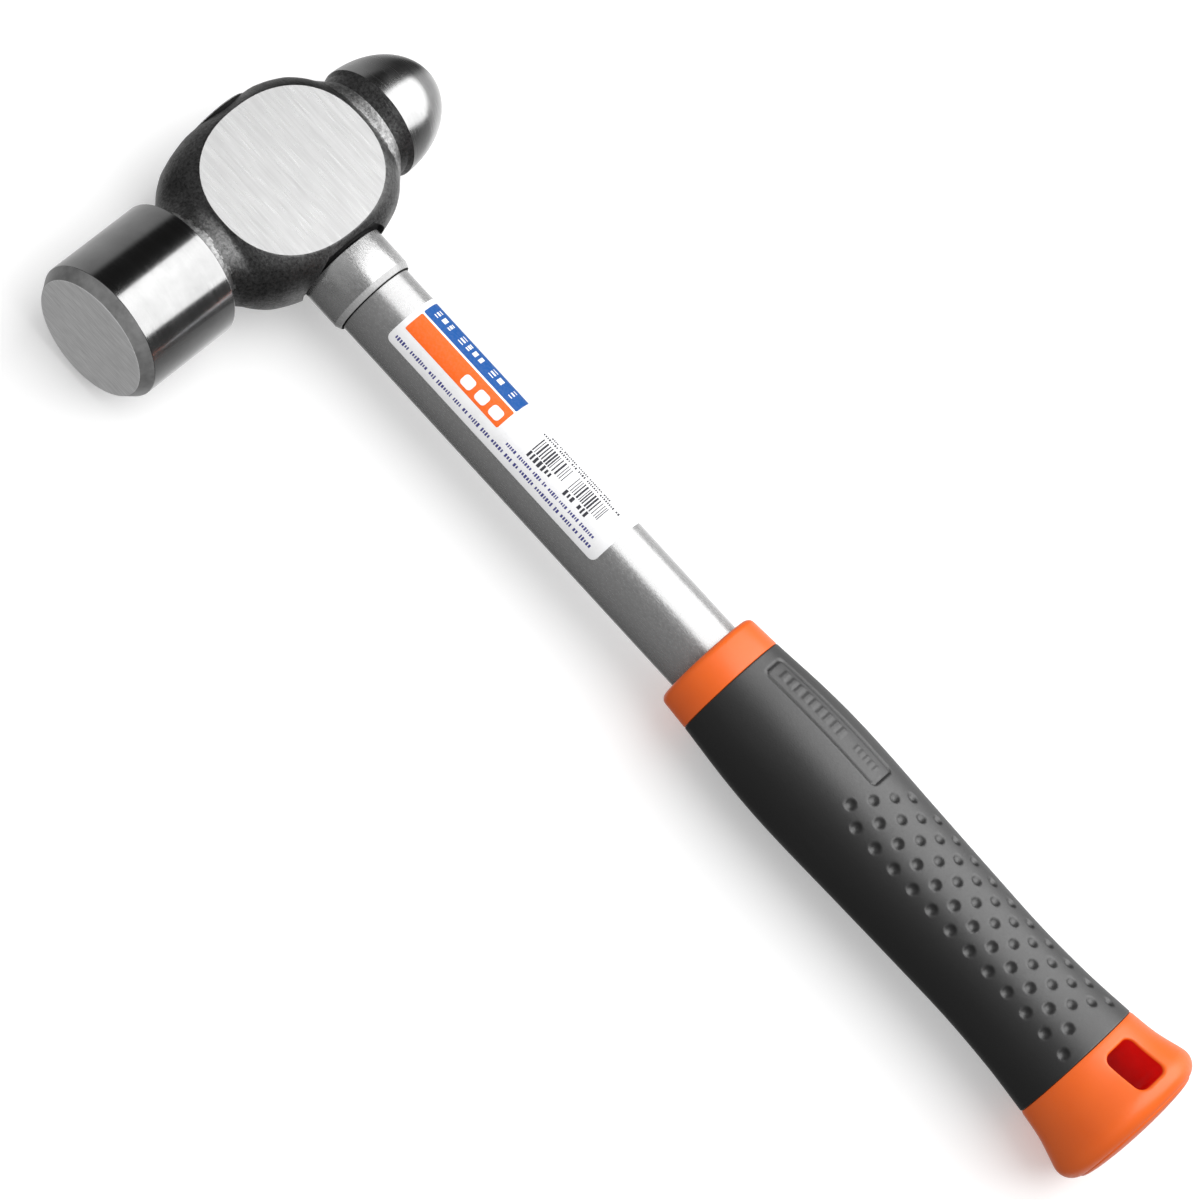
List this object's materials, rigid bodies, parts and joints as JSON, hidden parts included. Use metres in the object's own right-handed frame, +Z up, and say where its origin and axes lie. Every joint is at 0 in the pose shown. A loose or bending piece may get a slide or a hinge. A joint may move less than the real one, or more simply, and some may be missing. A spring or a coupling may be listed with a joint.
{
  "type": "ball peen hammer",
  "caption": "Ball peen hammer: forged steel head with a flat striking face and a ball, collared tubular steel shank, and a moulded grip with a hanging hole.",
  "frame": {"origin": "under the middle of the whole hammer, at the level of its lowest point, which is the rim of the flared butt", "axes": "+X runs along the shank from the head to the butt, -Y is the way the striking face looks, +Y is the way the ball looks, +Z is up, square to one ground cheek"},
  "size_m": [0.3196, 0.1134, 0.0408],
  "materials": {
    "head_steel": "dark forged body with ground cheeks, polished poll and ball, satin striking face",
    "plated_tube": "satin plated",
    "plated_collar": "satin plated",
    "wedge_steel": "as machined",
    "dowel_wood": "bare hardwood",
    "plug_plastic": "as moulded",
    "orange_moulding": "satin, as moulded",
    "black_rubber": "satin moulded rubber with small round dimples",
    "label_film": "white film printed with plain coloured blocks"
  },
  "bodies": {
    "root": {"hammer_head": "head_steel", "shank_tube": "plated_tube", "shank_collar": "plated_collar", "eye_wedge": "wedge_steel", "damping_dowel": "dowel_wood", "tube_end_plug": "plug_plastic", "grip_core": "orange_moulding", "grip_cover": "black_rubber", "shank_label": "label_film"}
  },
  "joints": []
}
